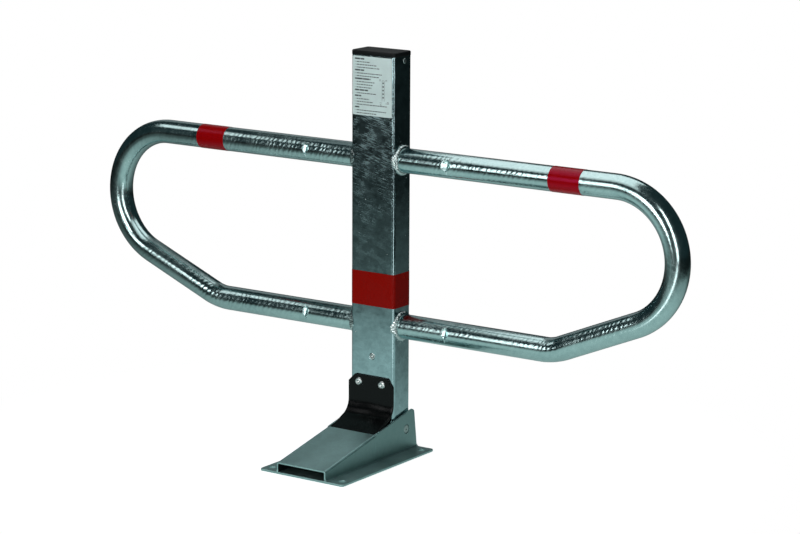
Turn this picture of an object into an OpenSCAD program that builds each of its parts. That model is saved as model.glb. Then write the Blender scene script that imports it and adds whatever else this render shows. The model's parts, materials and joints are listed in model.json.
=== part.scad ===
// Folding parking lock: a galvanised post with two tube hoops, hinged in a
// ramped steel shoe on a base plate. The post folds backwards, towards +Y.
// Millimetres, +Z up, the ramp points to -Y. The origin is the centre of the
// base plate's underside.

/* [Base plate and shoe] */
// Width of the base plate
plate_w = 172; // [160:1:200]
// Length of the base plate, front to back
plate_l = 270; // [268:1:280]
// Thickness of the base plate
plate_t = 4; // [4:0.5:5]
// Corner radius of the base plate
plate_corner_r = 5; // [3:1:8]
// Radius of each anchor hole
anchor_hole_r = 6; // [4:0.5:6.5]
// Anchor hole spacing, left to right
anchor_spacing_x = 145; // [140:1:146]
// Anchor hole spacing, front to back
anchor_spacing_y = 234; // [220:1:238]
// Outer width of the shoe
shoe_w = 101; // [101:1:104]
// Sheet thickness of the shoe
shoe_t = 3; // [2.5:0.5:3]
// Height of the shoe's front edge above the ground
ramp_front_z = 20.6; // [19:0.2:22]
// Slope of the ramp, in degrees
ramp_angle = 11.8; // [11.4:0.1:12]
// Length of the ramp's top sheet along the ground
ramp_l = 145; // [140:1:147]

/* [Post] */
// Width of the post's steel section
post_w = 90; // [88:1:90]
// Depth of the post's steel section
post_d = 50; // [50:1:50]
// Wall thickness of the post
post_wall = 3; // [3:0.5:3]
// Outer corner radius of the post
post_corner_r = 6; // [5:0.5:7]
// Height of the post's steel top above the ground
post_top_z = 687; // [640:1:720]
// Height of the post's open lower end
post_bottom_z = 11; // [11:0.5:12]
// Distance from the plate's centre back to the post's centre
post_y = 95; // [95:1:95]
// Height of the plastic end cap's rim
cap_rim_h = 8; // [6:0.5:10]

/* [Hoops] */
// Outer diameter of the hoop tube
tube_d = 42.4; // [40:0.1:42.4]
// Wall thickness of the hoop tube
tube_wall = 2.6; // [2:0.1:3]
// Height of the upper arms' centre line
upper_arm_z = 511; // [500:1:520]
// Height of the lower arms' centre line
lower_arm_z = 224; // [220:1:230]
// Reach of the hoops' centre line from the middle of the post
hoop_reach = 576; // [560:1:590]
// Centre-line radius of the large bend
big_bend_r = 115.5; // [110:0.5:118]
// Centre-line radius of the low bend
low_bend_r = 100; // [80:1:120]
// Slope of the run between the two bends, in degrees
hoop_slope = 22.6; // [21:0.2:24]
// Distance of the vent notches from the middle of the post
notch_x = 145; // [120:1:170]

/* [Markings] */
// Width of each reflective band
band_w = 59; // [50:1:65]
// Middle of the left hoop's band, measured from the post's middle
band_x_left = 354; // [300:1:400]
// Middle of the right hoop's band, measured from the post's middle
band_x_right = 373; // [300:1:400]
// Middle height of the post's band
post_band_z = 287; // [280:1:300]
// Width of the instruction label
label_w = 80; // [60:1:80]
// Height of the instruction label
label_h = 100; // [80:1:100]

/* [Hinge] */
// Distance from the post's centre back to the hinge axis
pivot_back = 7.5; // [7.5:0.5:7.5]
// Height of the hinge axis
pivot_z = 41; // [41:0.5:41]
// Radius of the hinge axle
axle_r = 8; // [7:0.5:8]
// Thickness of the rubber flap
flap_t = 4; // [3:0.5:4]
// Width of the rubber flap
flap_w = 93; // [90:1:94]
// Height of the flap's top edge
flap_top_z = 134.5; // [134:0.5:136]
// Height of the two flap screws
flap_screw_z = 123; // [122:0.5:124]
// Distance between the two flap screws
flap_screw_spacing = 48; // [48:1:50]

/* [Lock] */
// Height of the lock core's axis
lock_z = 150; // [150:1:152]
// Height of the screw that holds the lock case
lock_screw_z = 169; // [169:1:170]
// Radius of the lock core
core_r = 11; // [11:0.5:11.5]
// Radius of the locking bolt
bolt_r = 5; // [4.5:0.5:5]
// Travel of the locking bolt
bolt_travel = 11; // [10:0.5:11]
// Height of the bolt's tip when it is drawn up
bolt_tip_z = 12.5; // [12.5:0.5:13]

/* [Hidden] */
$fn = 64;

// radial gap of every part that turns or slides in another
fit_gap = 0.05;
// gap between flat faces of bodies that move apart
face_gap = 0.3;
// how far a cutting shape runs past what it cuts
over = 1;

// --- places worked out from the driving dimensions ---
pivot_y = post_y + pivot_back;
post_front_y = post_y - post_d / 2;
post_back_y = post_y + post_d / 2;
post_side_x = post_w / 2;
inner_w = post_w - 2 * post_wall;
inner_d = post_d - 2 * post_wall;
inner_front_y = post_front_y + post_wall;
inner_back_y = post_back_y - post_wall;
tube_r = tube_d / 2;

// the shoe stands this far inside the plate's front and back edges
shoe_inset = 0.5;
shoe_front_y = -plate_l / 2 + shoe_inset;
shoe_back_y = plate_l / 2 - shoe_inset;
shoe_inner_x = shoe_w / 2 - shoe_t;
ramp_end_y = shoe_front_y + ramp_l;
bend_r = 4;
// the shoe's back edge leans forwards by this many millimetres per millimetre
back_lean = 0.128;
wall_corner_r = 8;

// hoop outline, in the plane of the post's centre
big_bend_x = hoop_reach - big_bend_r;
big_bend_z = upper_arm_z - big_bend_r;
run_start = [big_bend_x + big_bend_r * sin(hoop_slope),
    big_bend_z - big_bend_r * cos(hoop_slope)];
// where the sloping run would meet the lower arm if the bend were sharp
corner_x = run_start[0] - (run_start[1] - lower_arm_z) / tan(hoop_slope);
low_tangent = low_bend_r * tan(hoop_slope / 2);
run_l = norm(run_start - [corner_x, lower_arm_z]) - low_tangent;
notch_depth = 3.6;
notch_half_w = 4.6;
weld_leg = 4.6;
shoe_weld_leg = 3;

// lock: the bolt stands in front of the hinge axle, beside the lock screw
bolt_x = 8;
bolt_from_front = 10;
bolt_y = post_front_y + bolt_from_front;
bolt_head_h = 11.2;
// radial play of the bolt's tip in the catch plate and the base plate
catch_gap = 0.5;
collar_r = 6.7;
collar_z = 112;
collar_h = 4;
// radius at which the crank pin turns, so that a quarter turn gives the travel
crank_r = bolt_travel / (2 * sin(45));
crank_pin_r = 2.5;
core_from_front = 25;
core_front_y = post_front_y + core_from_front;
core_back_y = inner_back_y - 2;
case_bottom_z = 132;
case_top_z = 182;
case_gap = 0.3;
rosette_r = 20;
rosette_t = 2.5;
rosette_hole_r = 9.5;
rosette_rivet_x = 15.8;
rosette_rivet_r = 1.6;
// length of a blind rivet's swollen tail behind the sheet
rosette_tail_l = 1.5;
cap_rivet_y = post_y + 4;
cap_rivet_z = post_top_z - 8;
cap_skirt_t = 2.4;
rivet_shank_r = 2.4;
rivet_nut_r = 5.45;
lock_screw_hole_r = 3.1;

// --- helpers ---

// a rectangle w by d with round corners, centred on the origin
module rounded_rect(w, d, r) {
    square([w - 2 * r, d], center = true);
    square([w, d - 2 * r], center = true);
    for (sx = [-1, 1], sy = [-1, 1])
        translate([sx * (w / 2 - r), sy * (d / 2 - r)])
            circle(r);
}

// a cylinder along +Y, starting at [x, y, z]
module cyl_y(x, y, z, r, h) {
    translate([x, y, z])
        rotate([-90, 0, 0])
            cylinder(r = r, h = h);
}

// a cylinder along X, centred on [x, y, z]
module cyl_x(x, y, z, r, h) {
    translate([x, y, z])
        rotate([0, 90, 0])
            cylinder(r = r, h = h, center = true);
}

// turns a drawing of [y, z] points into a slab of width w across X
module across_x(w) {
    translate([-w / 2, 0, 0])
        rotate([90, 0, 90])
            linear_extrude(w)
                children();
}

// --- shoe ---

// height of the ramp's outer surface above the ground at y
function ramp_z(y) = ramp_front_z + (y - shoe_front_y) * tan(ramp_angle);

// outline of a side wall, with its upper back corner rounded
module wall_outline() {
    top_y = (shoe_back_y - back_lean * (ramp_z(0) - plate_t))
        / (1 + back_lean * tan(ramp_angle));
    corner = [top_y, ramp_z(top_y)];
    foot = [shoe_back_y, plate_t];
    down = (foot - corner) / norm(foot - corner);
    front = [-cos(ramp_angle), -sin(ramp_angle)];
    half = acos(down * front) / 2;
    tangent = wall_corner_r / tan(half);
    middle = (down + front) / norm(down + front);
    polygon([[shoe_front_y, plate_t], foot, corner + down * tangent,
        corner + front * tangent, [shoe_front_y, ramp_front_z]]);
    intersection() {
        translate(corner + middle * wall_corner_r / sin(half))
            circle(wall_corner_r);
        polygon([foot, corner, [shoe_front_y, ramp_front_z], [0, plate_t]]);
    }
}

module base_plate() {
    color([0.50, 0.56, 0.55])
    difference() {
        linear_extrude(plate_t)
            rounded_rect(plate_w, plate_l, plate_corner_r);
        for (sx = [-1, 1], sy = [-1, 1])
            translate([sx * anchor_spacing_x / 2, sy * anchor_spacing_y / 2, -over])
                cylinder(r = anchor_hole_r, h = plate_t + 2 * over);
        translate([bolt_x, bolt_y, -over])
            cylinder(r = bolt_r + catch_gap, h = plate_t + 2 * over);
    }
}

// folded sheet: a sloping top over the front, and two walls that run on to the back
module ramp_shoe() {
    color([0.47, 0.54, 0.53])
    difference() {
        union() {
            intersection() {
                across_x(shoe_w)
                    intersection() {
                        wall_outline();
                        translate([shoe_front_y, 0])
                            square([ramp_l, 200]);
                    }
                translate([0, shoe_front_y, ramp_front_z])
                    rotate([ramp_angle - 90, 0, 0])
                        translate([0, 0, -50])
                            linear_extrude(ramp_l + 100)
                                mirror([0, 1])
                                    ramp_section();
            }
            for (side = [-1, 1])
                translate([side * (shoe_w - shoe_t) / 2, 0, 0])
                    across_x(shoe_t)
                        intersection() {
                            wall_outline();
                            translate([ramp_end_y, 0])
                                square([plate_l, 200]);
                        }
        }
        cyl_x(0, pivot_y, pivot_z, axle_r + fit_gap, shoe_w + 2 * over);
    }
}

// the folded sheet's cross-section, hanging below its top surface
module ramp_section() {
    difference() {
        translate([0, -100])
            rounded_rect(shoe_w, 200, bend_r);
        translate([-shoe_inner_x, -200 - over])
            square([2 * shoe_inner_x, 200 + over - shoe_t]);
    }
}

// fillet welds along the foot of each side wall
module shoe_welds() {
    weld_l = 2 * shoe_back_y;
    color([0.42, 0.48, 0.47])
    for (side = [0, 1])
        mirror([side, 0, 0])
            translate([shoe_w / 2, weld_l / 2, plate_t])
                rotate([90, 0, 0])
                    linear_extrude(weld_l)
                        difference() {
                            square(shoe_weld_leg);
                            translate([shoe_weld_leg, shoe_weld_leg])
                                circle(shoe_weld_leg - 0.4);
                        }
}

// cross bar behind the post: the post leans on it upright and lies on it folded
module stop_bar() {
    bar_y = post_back_y + face_gap;
    bar_d = 11;
    bar_bottom_z = plate_t + 5;
    // the post's back face lies this far below the axis once it is folded
    bar_top_z = pivot_z - (post_back_y - pivot_y) - face_gap;
    color([0.45, 0.51, 0.50])
    translate([-shoe_inner_x, bar_y, bar_bottom_z])
        cube([2 * shoe_inner_x, bar_d, bar_top_z - bar_bottom_z]);
}

// plate on the base that the locking bolt drops into
module catch_plate() {
    catch_w = 44;
    catch_l = 20;
    catch_t = 4;
    // the plate reaches further in front of the bolt than behind it
    shift = 1.5;
    color([0.45, 0.51, 0.50])
    difference() {
        translate([bolt_x - catch_w / 2, bolt_y - catch_l / 2 - shift, plate_t])
            cube([catch_w, catch_l, catch_t]);
        translate([bolt_x, bolt_y, plate_t - over])
            cylinder(r = bolt_r + catch_gap, h = catch_t + 2 * over);
    }
}

// --- hinge ---

module pivot_axle() {
    // the axle's ends stand a little inside the shoe's walls
    axle_l = shoe_w - 1.2;
    chamfer = 1.2;
    dimple_r = 2;
    color([0.62, 0.67, 0.66])
    translate([0, pivot_y, pivot_z])
        rotate([0, 90, 0])
            rotate_extrude()
                polygon([[0, -axle_l / 2 + dimple_r], [dimple_r, -axle_l / 2],
                    [axle_r - chamfer, -axle_l / 2], [axle_r, -axle_l / 2 + chamfer],
                    [axle_r, axle_l / 2 - chamfer], [axle_r - chamfer, axle_l / 2],
                    [dimple_r, axle_l / 2], [0, axle_l / 2 - dimple_r]]);
}

bush_r = 10;
bush_flange_r = 15;
bush_l = 16;

// flanged plain bushes, one in each side of the post
module pivot_bushes() {
    flange_t = shoe_inner_x - post_side_x - face_gap;
    color([0.12, 0.12, 0.12])
    for (side = [0, 1])
        mirror([side, 0, 0])
            translate([post_side_x, pivot_y, pivot_z])
                rotate([0, 90, 0])
                    difference() {
                        union() {
                            cylinder(r = bush_flange_r, h = flange_t);
                            translate([0, 0, -bush_l])
                                cylinder(r = bush_r - 0.02, h = bush_l + 0.5);
                        }
                        translate([0, 0, -bush_l - over])
                            cylinder(r = axle_r + fit_gap, h = bush_l + 20);
                    }
}

// tube welded across the inside of the post, which the bushes sit in
module pivot_sleeve() {
    color([0.50, 0.55, 0.54])
    difference() {
        cyl_x(0, pivot_y, pivot_z, 13, inner_w);
        cyl_x(0, pivot_y, pivot_z, bush_r, inner_w + 2 * over);
    }
}

// --- post ---

module post_tube() {
    color([0.55, 0.61, 0.60])
    difference() {
        translate([0, post_y, post_bottom_z])
            linear_extrude(post_top_z - post_bottom_z)
                difference() {
                    rounded_rect(post_w, post_d, post_corner_r);
                    rounded_rect(inner_w, inner_d, post_corner_r - post_wall);
                }
        cyl_x(0, pivot_y, pivot_z, bush_r, post_w + 2 * over);
        for (side = [-1, 1])
            cyl_y(side * flap_screw_spacing / 2, post_front_y - over, flap_screw_z,
                rivet_nut_r + fit_gap, 10);
        translate([0, post_front_y, lock_screw_z])
            rotate([-90, 0, 0])
                cylinder(r1 = 6, r2 = lock_screw_hole_r, h = post_wall - 0.1);
        cyl_y(0, post_front_y - over, lock_screw_z, lock_screw_hole_r, 10);
        cyl_y(0, inner_back_y - over, lock_z, rosette_hole_r, 10);
        for (side = [-1, 1])
            cyl_y(side * rosette_rivet_x, inner_back_y - over, lock_z, rosette_rivet_r, 10);
        cyl_x(0, cap_rivet_y, cap_rivet_z, rivet_shank_r, post_w + 2 * over);
    }
}

// plastic plug with a rim that closes the post's top
module end_cap() {
    skirt_h = 22;
    rim_w = post_w + 0.8;
    rim_d = post_d + 0.8;
    edge = 1.6;
    color([0.03, 0.03, 0.035])
    difference() {
        union() {
            translate([0, post_y, post_top_z])
                linear_extrude(cap_rim_h - edge)
                    rounded_rect(rim_w, rim_d, post_corner_r);
            translate([0, post_y, post_top_z + cap_rim_h - edge])
                linear_extrude(edge)
                    rounded_rect(rim_w - 2 * edge, rim_d - 2 * edge, post_corner_r - edge);
            translate([0, post_y, post_top_z - skirt_h])
                linear_extrude(skirt_h)
                    rounded_rect(inner_w - 0.2, inner_d - 0.2, post_corner_r - post_wall);
        }
        translate([0, post_y, post_top_z - skirt_h - over])
            linear_extrude(skirt_h + over + 3)
                rounded_rect(inner_w - 2 * cap_skirt_t, inner_d - 2 * cap_skirt_t, 2);
        cyl_x(0, cap_rivet_y, cap_rivet_z, rivet_shank_r, post_w);
    }
}

// blind rivets that hold the cap, one in each side
module cap_rivets() {
    head_h = 1.4;
    head_r = 4.8;
    tail_r = 3.2;
    mandrel_r = 1.2;
    tail_l = 4;
    // places along the rivet, measured from the post's side
    skirt = inner_w / 2 - cap_skirt_t - 0.1 - post_side_x;
    shank_r = rivet_shank_r - 0.02;
    color([0.70, 0.74, 0.73])
    for (side = [0, 1])
        mirror([side, 0, 0])
            translate([post_side_x, cap_rivet_y, cap_rivet_z])
                rotate([0, 90, 0])
                    rotate_extrude()
                        polygon([[mandrel_r, skirt - tail_l], [tail_r, skirt - tail_l],
                            [tail_r, skirt], [shank_r, skirt], [shank_r, 0], [head_r, 0],
                            [head_r * 0.8, head_h * 0.7], [head_r * 0.4, head_h],
                            [mandrel_r, head_h]]);
}

// --- hoops ---

// one ring of the tube's wall, for extruding
module tube_ring(r_out, r_in) {
    difference() {
        circle(r_out);
        circle(r_in);
    }
}

// straight tube from [x, z] along a slope in the hoop's plane
module tube_straight(start, angle, l, r_out, r_in) {
    translate([start[0], post_y, start[1]])
        rotate([0, 90 - angle, 0])
            linear_extrude(l)
                tube_ring(r_out, r_in);
}

// bent tube about a centre, from one angle to another in the hoop's plane
module tube_bend(centre, bend, from, turn, r_out, r_in) {
    translate([centre[0], post_y, centre[1]])
        rotate([90, 0, 0])
            rotate([0, 0, from])
                rotate_extrude(angle = turn)
                    translate([bend, 0])
                        tube_ring(r_out, r_in);
}

// ring a hair thicker than the wall, which joins two lengths of tube into one solid
module tube_seam(at, angle, r_out, r_in) {
    seam_l = 1;
    seam_t = 0.04;
    tube_straight(at - seam_l / 2 * [cos(angle), sin(angle)], angle, seam_l,
        r_out + seam_t, r_in - seam_t);
}

// the right-hand hoop; a hollow tube bent twice and welded to the post at both ends
module hoop(r_out, r_in) {
    low_start = [corner_x - low_tangent, lower_arm_z];
    low_end = [corner_x, lower_arm_z] + low_tangent * [cos(hoop_slope), sin(hoop_slope)];
    tube_straight([post_side_x, upper_arm_z], 0, big_bend_x - post_side_x, r_out, r_in);
    tube_bend([big_bend_x, big_bend_z], big_bend_r, hoop_slope - 90, 180 - hoop_slope,
        r_out, r_in);
    tube_straight(run_start, 180 + hoop_slope, run_l, r_out, r_in);
    tube_bend(low_start + [0, low_bend_r], low_bend_r, -90, hoop_slope, r_out, r_in);
    tube_straight([post_side_x, lower_arm_z], 0, low_start[0] - post_side_x, r_out, r_in);
    tube_seam([big_bend_x, upper_arm_z], 0, r_out, r_in);
    tube_seam(run_start, hoop_slope, r_out, r_in);
    tube_seam(low_end, hoop_slope, r_out, r_in);
    tube_seam(low_start, 0, r_out, r_in);
}

// V-shaped vent notch across the front of an arm
module vent_notch(z) {
    notch_y = post_y - tube_r;
    translate([notch_x, 0, z - 20])
        linear_extrude(40)
            polygon([[-notch_half_w, notch_y - 0.001], [-notch_half_w, notch_y - 5],
                [notch_half_w, notch_y - 5], [notch_half_w, notch_y - 0.001],
                [0, notch_y + notch_depth]]);
}

module notched_hoop() {
    difference() {
        hoop(tube_r, tube_r - tube_wall);
        vent_notch(upper_arm_z);
        vent_notch(lower_arm_z);
    }
}

module hoop_left() {
    color([0.60, 0.66, 0.65])
    mirror([1, 0, 0])
        notched_hoop();
}

module hoop_right() {
    color([0.60, 0.66, 0.65])
    notched_hoop();
}

// fillet weld rings where an arm meets the post's side
module weld_rings() {
    difference() {
        for (z = [upper_arm_z, lower_arm_z])
            translate([post_side_x - 4, post_y, z])
                rotate([0, 90, 0])
                    rotate_extrude()
                        polygon([[tube_r, 0], [tube_r + weld_leg, 0],
                            [tube_r + weld_leg, 4.8],
                            [tube_r + weld_leg * 0.6, 7],
                            [tube_r, 4 + weld_leg]]);
        translate([0, post_y, lower_arm_z - 100])
            linear_extrude(upper_arm_z - lower_arm_z + 200)
                rounded_rect(post_w, post_d, post_corner_r);
    }
}

module hoop_welds_left() {
    color([0.72, 0.77, 0.76])
    mirror([1, 0, 0])
        weld_rings();
}

module hoop_welds_right() {
    color([0.72, 0.77, 0.76])
    weld_rings();
}

// --- markings ---

tape_t = 0.35;

module post_band() {
    color([0.55, 0.03, 0.05])
    translate([0, post_y, post_band_z - band_w / 2])
        linear_extrude(band_w)
            difference() {
                rounded_rect(post_w + 2 * tape_t, post_d + 2 * tape_t, post_corner_r + tape_t);
                rounded_rect(post_w, post_d, post_corner_r);
            }
}

// tape round an upper arm, centred at x
module arm_band(x) {
    color([0.62, 0.02, 0.08])
    tube_straight([x - band_w / 2, upper_arm_z], 0, band_w, tube_r + tape_t, tube_r);
}

module hoop_band_left() {
    arm_band(-band_x_left);
}

module hoop_band_right() {
    arm_band(band_x_right);
}

module info_label() {
    color([0.75, 0.80, 0.80])
    translate([-label_w / 2 - 1, post_front_y - tape_t, post_top_z - 2 - label_h])
        cube([label_w, tape_t, label_h]);
}

// --- rubber flap ---

// the flap's front surface: up the ramp's slope under its sheet, then two arcs to vertical
flap_front_y = post_front_y - flap_t;
flap_bend_r = 27;
flap_bend_z = 90;
flap_rise_angle = 24;
flap_tuck_l = 60;
flap_face = function(a, r, cy, cz) [cy + r * sin(a), cz - r * cos(a)];
flap_bend_y = flap_front_y - flap_bend_r;
// where the flap starts to rise, just behind the ramp sheet's lower edge
flap_edge_y = ramp_end_y + 0.6;

// centre line of the flap as [y, z] points, from the tucked end to the top edge
function flap_line(off) = let (
    low = flap_face(flap_rise_angle, flap_bend_r + off, flap_bend_y, flap_bend_z),
    edge = [flap_edge_y, ramp_z(flap_edge_y) - shoe_t - face_gap]
        + off * [sin(ramp_angle), -cos(ramp_angle)] / cos(ramp_angle),
    tuck = edge - flap_tuck_l * [cos(ramp_angle), sin(ramp_angle)])
    concat([tuck, edge],
        [low],
        [for (a = [flap_rise_angle + 6 : 6 : 90])
            flap_face(a, flap_bend_r + off, flap_bend_y, flap_bend_z)],
        [[flap_front_y + off, flap_top_z]]);

module hinge_flap() {
    corner = 13;
    line_front = flap_line(0);
    line_back = flap_line(flap_t);
    count = len(line_back);
    color([0.04, 0.045, 0.05])
    difference() {
        across_x(flap_w)
            polygon(concat(line_front, [for (i = [count - 1 : -1 : 0]) line_back[i]]));
        for (side = [0, 1])
            mirror([side, 0, 0])
                translate([0, post_front_y + over, 0])
                    rotate([90, 0, 0])
                        linear_extrude(flap_t + 2 * over)
                            polygon([[flap_w / 2 - corner, flap_top_z + over],
                                [flap_w / 2 - corner, flap_top_z],
                                [flap_w / 2, flap_top_z - corner],
                                [flap_w / 2 + over, flap_top_z - corner],
                                [flap_w / 2 + over, flap_top_z + over]]);
        for (side = [-1, 1])
            cyl_y(side * flap_screw_spacing / 2, flap_front_y - over, flap_screw_z, 4.1,
                flap_t + 2 * over);
    }
}

// round-headed socket screws that hold the flap
module flap_screws() {
    head_r = 7;
    head_h = 4.2;
    crown_r = 9;
    color([0.85, 0.88, 0.87])
    for (side = [-1, 1])
        difference() {
            union() {
                cyl_y(side * flap_screw_spacing / 2, flap_front_y - 0.1, flap_screw_z, 4, 19);
                intersection() {
                    cyl_y(side * flap_screw_spacing / 2, flap_front_y - head_h, flap_screw_z,
                        head_r, head_h);
                    translate([side * flap_screw_spacing / 2,
                        flap_front_y - head_h + crown_r, flap_screw_z])
                        sphere(crown_r);
                }
            }
            translate([side * flap_screw_spacing / 2, flap_front_y - head_h - over, flap_screw_z])
                rotate([-90, 0, 0])
                    cylinder(r = 2.9, h = 2.6 + over, $fn = 6);
        }
}

// threaded sleeves pressed into the post's front for the flap screws
module rivet_nuts() {
    color([0.78, 0.75, 0.60])
    for (side = [-1, 1])
        difference() {
            union() {
                cyl_y(side * flap_screw_spacing / 2, post_front_y, flap_screw_z, rivet_nut_r, 14);
                cyl_y(side * flap_screw_spacing / 2, inner_front_y, flap_screw_z, 7, 3);
            }
            cyl_y(side * flap_screw_spacing / 2, post_front_y - over, flap_screw_z, 4.03, 20);
        }
}

// --- lock ---

// plate welded across the inside of the post that keeps the bolt's lower end straight
module bolt_guide() {
    guide_t = 6;
    guide_z = 60;
    edge_gap = 0.1;
    drain_x = 30;
    drain_r = 7;
    // radius cut out of each corner, which clears the inside of the post's corners
    corner_r = 4;
    low = guide_z - over;
    cut_h = guide_t + 2 * over;
    color([0.45, 0.50, 0.49])
    difference() {
        translate([-inner_w / 2 + edge_gap, inner_front_y + edge_gap, guide_z])
            cube([inner_w - 2 * edge_gap, inner_d - 2 * edge_gap, guide_t]);
        translate([bolt_x, bolt_y, low])
            cylinder(r = bolt_r + fit_gap, h = cut_h);
        for (side = [-1, 1])
            translate([side * drain_x, post_y, low])
                cylinder(r = drain_r, h = cut_h);
        for (sx = [-1, 1], sy = [-1, 1])
            translate([sx * inner_w / 2, post_y + sy * inner_d / 2, low])
                cylinder(r = corner_r, h = cut_h);
    }
}

// block that carries the core and the bolt's upper end, with a pocket for the crank
module lock_case() {
    case_w = 46;
    case_front_y = inner_front_y + case_gap;
    case_d = inner_d - 2 * case_gap;
    pocket_left_x = -13;
    pocket_w = 33;
    pocket_front_y = case_front_y + 1.2;
    pocket_back_y = core_front_y - 0.5;
    pocket_bottom = case_bottom_z + 6;
    pocket_top = lock_z + 15;
    tail_gap = 1;
    tail_r = 3;
    screw_hole_r = 3.03;
    screw_hole_l = 14;
    color([0.40, 0.42, 0.44])
    difference() {
        translate([-case_w / 2, case_front_y, case_bottom_z])
            cube([case_w, case_d, case_top_z - case_bottom_z]);
        translate([pocket_left_x, pocket_front_y, pocket_bottom])
            cube([pocket_w, pocket_back_y - pocket_front_y, pocket_top - pocket_bottom]);
        cyl_y(0, pocket_back_y - over, lock_z, core_r + fit_gap, post_d);
        translate([bolt_x, bolt_y, case_bottom_z - over])
            cylinder(r = bolt_r + fit_gap, h = pocket_bottom - case_bottom_z + 2 * over);
        cyl_y(0, case_front_y - over, lock_screw_z, screw_hole_r, screw_hole_l);
        for (side = [-1, 1])
            cyl_y(side * rosette_rivet_x, inner_back_y - rosette_tail_l - tail_gap, lock_z,
                tail_r, post_d);
    }
}

// countersunk socket screw through the post's front into the lock case
module lock_screw() {
    recess = 0.35;
    color([0.55, 0.58, 0.58])
    difference() {
        union() {
            translate([0, post_front_y + recess, lock_screw_z])
                rotate([-90, 0, 0])
                    cylinder(r1 = 5.6, r2 = 3, h = 2.5);
            cyl_y(0, post_front_y + recess + 2.5 - 0.01, lock_screw_z, 3, 11);
        }
        translate([0, post_front_y + recess - over, lock_screw_z])
            rotate([-90, 0, 0])
                cylinder(r = 2.31, h = 2 + over, $fn = 6);
    }
}

// collar round the key stud on the back of the post
module lock_escutcheon() {
    color([0.66, 0.70, 0.70])
    difference() {
        union() {
            cyl_y(0, post_back_y, lock_z, rosette_r, rosette_t);
            cyl_y(0, post_back_y, lock_z, 12.5, 6);
        }
        cyl_y(0, post_back_y - over, lock_z, rosette_hole_r, 20);
        for (side = [-1, 1])
            cyl_y(side * rosette_rivet_x, post_back_y - over, lock_z, rosette_rivet_r, 10);
    }
}

module escutcheon_rivets() {
    head_h = 1;
    head_r = 3;
    tail_r = 2.2;
    shank_r = rosette_rivet_r - 0.02;
    inner_end = -rosette_t - post_wall;
    color([0.72, 0.75, 0.75])
    for (side = [-1, 1])
        translate([side * rosette_rivet_x, post_back_y + rosette_t, lock_z])
            rotate([-90, 0, 0])
                rotate_extrude()
                    polygon([[0, inner_end - rosette_tail_l], [tail_r, inner_end - rosette_tail_l],
                        [tail_r, inner_end], [shank_r, inner_end], [shank_r, 0], [head_r, 0],
                        [0.75 * head_r, 0.8 * head_h], [0, head_h]]);
}

// turning core: a triangular key stud at the back, a crank pin at the front
module lock_core() {
    stud_r = 6;
    color([0.74, 0.68, 0.45])
    union() {
        cyl_y(0, core_front_y, lock_z, core_r, core_back_y - core_front_y);
        translate([0, core_back_y - 0.01, lock_z])
            rotate([-90, 0, 0])
                cylinder(r = stud_r, h = post_back_y + 3 - core_back_y, $fn = 3);
        translate([crank_r * cos(45), bolt_y - 3.5, lock_z + crank_r * sin(45)])
            rotate([-90, 0, 0])
                cylinder(r = crank_pin_r, h = core_front_y - bolt_y + 3.51);
    }
}

// long round bolt with a slotted head for the crank pin and a collar for the spring
module lock_bolt() {
    head_w = 20;
    head_t = 5;
    tip_h = 2;
    slot_z = lock_z + crank_r * sin(45);
    slot_h = 2 * crank_pin_r + 1.4;
    // the slot runs from beyond the pin's dead centre to its place at either end
    slot_left = 6.5;
    slot_w = 10.5;
    color([0.68, 0.72, 0.72])
    difference() {
        union() {
            translate([bolt_x, bolt_y, bolt_tip_z + tip_h])
                cylinder(r = bolt_r, h = lock_z + over - bolt_tip_z - tip_h);
            translate([bolt_x, bolt_y, bolt_tip_z])
                cylinder(r1 = bolt_r - 1.5, r2 = bolt_r, h = tip_h);
            translate([bolt_x, bolt_y, collar_z])
                cylinder(r = collar_r, h = collar_h);
            translate([bolt_x - head_w / 2, bolt_y - head_t / 2, lock_z - 0.2])
                cube([head_w, head_t, bolt_head_h]);
        }
        translate([bolt_x - slot_left, bolt_y - head_t, slot_z - slot_h / 2])
            cube([slot_w, 2 * head_t, slot_h]);
    }
}

// compression spring between the lock case and the bolt's collar
module bolt_spring() {
    wire_r = 0.8;
    coil_r = 6;
    turns = 6;
    steps = 16;
    sides = 6;
    low_z = collar_z + collar_h + wire_r + 0.1;
    rise = case_bottom_z - low_z - wire_r - 0.1;
    last = turns * steps;
    rings = [for (i = [0 : last]) let (a = 360 * i / steps, z = low_z + rise * i / last)
        [for (k = [0 : sides - 1]) let (b = 360 * k / sides, r = coil_r + wire_r * cos(b))
            [bolt_x + r * cos(a), bolt_y + r * sin(a), z + wire_r * sin(b)]]];
    points = [for (ring = rings) each ring];
    sides_faces = [for (i = [0 : last - 1], k = [0 : sides - 1])
        let (n = (k + 1) % sides)
        [i * sides + k, i * sides + n, (i + 1) * sides + n, (i + 1) * sides + k]];
    low_face = [for (k = [sides - 1 : -1 : 0]) k];
    high_face = [for (k = [0 : sides - 1]) last * sides + k];
    color([0.50, 0.52, 0.53])
    polyhedron(points, concat(sides_faces, [low_face, high_face]), convexity = 10);
}

base_plate();
ramp_shoe();
shoe_welds();
stop_bar();
catch_plate();
pivot_axle();
pivot_bushes();
pivot_sleeve();
post_tube();
end_cap();
cap_rivets();
hoop_left();
hoop_right();
hoop_welds_left();
hoop_welds_right();
post_band();
hoop_band_left();
hoop_band_right();
info_label();
hinge_flap();
flap_screws();
rivet_nuts();
bolt_guide();
lock_case();
lock_screw();
lock_escutcheon();
escutcheon_rivets();
lock_core();
lock_bolt();
bolt_spring();
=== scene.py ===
"""Folding parking lock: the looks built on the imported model, with its floor, lights and camera.

Lengths in the building functions are millimetres in the row frame; to_mesh() turns them into metres.
"""
import json
import math
import random
from collections import namedtuple
from itertools import accumulate

import bmesh
import bpy
from mathutils import Matrix, Quaternion, Vector, noise

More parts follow.
